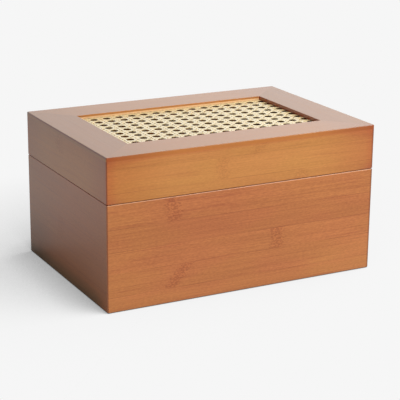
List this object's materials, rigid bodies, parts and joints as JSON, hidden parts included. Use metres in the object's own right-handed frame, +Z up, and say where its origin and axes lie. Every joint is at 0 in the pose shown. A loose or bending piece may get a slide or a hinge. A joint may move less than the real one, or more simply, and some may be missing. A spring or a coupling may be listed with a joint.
{
  "type": "storage box",
  "caption": "Rectangular stained bamboo storage box with a hinged lid, whose flat top frame holds a recessed panel of woven cane.",
  "frame": {"origin": "centre of the underside of the box, without the hinges", "axes": "+X along the front from left to right, +Y towards the hinged back, +Z up"},
  "size_m": [0.29, 0.2058, 0.15],
  "materials": {
    "bamboo": "glued bamboo strips, stained warm brown, satin lacquer",
    "bamboo_strip": "bare bamboo, sanded",
    "cane": "natural woven rattan cane",
    "brass": "plain brass",
    "steel": "plain steel wire"
  },
  "bodies": {
    "base": {"base_front_wall": "bamboo", "base_right_wall": "bamboo", "base_back_wall": "bamboo", "base_left_wall": "bamboo", "base_floor": "bamboo", "base_corner_splines": "bamboo_strip", "floor_brads": "steel", "left_hinge_base_leaf": "brass", "left_hinge_pin": "brass", "right_hinge_base_leaf": "brass", "right_hinge_pin": "brass", "base_hinge_screws": "brass"},
    "lid": {"lid_front_rail": "bamboo", "lid_right_rail": "bamboo", "lid_back_rail": "bamboo", "lid_left_rail": "bamboo", "lid_corner_splines": "bamboo_strip", "top_frame_front": "bamboo", "top_frame_right": "bamboo", "top_frame_back": "bamboo", "top_frame_left": "bamboo", "cane_panel": "cane", "cane_retainer_front": "bamboo_strip", "cane_retainer_right": "bamboo_strip", "cane_retainer_back": "bamboo_strip", "cane_retainer_left": "bamboo_strip", "retainer_brads": "steel", "left_hinge_lid_leaf": "brass", "right_hinge_lid_leaf": "brass", "lid_hinge_screws": "brass"}
  },
  "joints": [
    {"name": "lid_hinge", "type": "hinge", "parent": "base", "child": "lid", "pos_m": [0, 0.1029, 0.10515], "axis": [-1, 0, 0], "range_deg": [0, 95]}
  ]
}
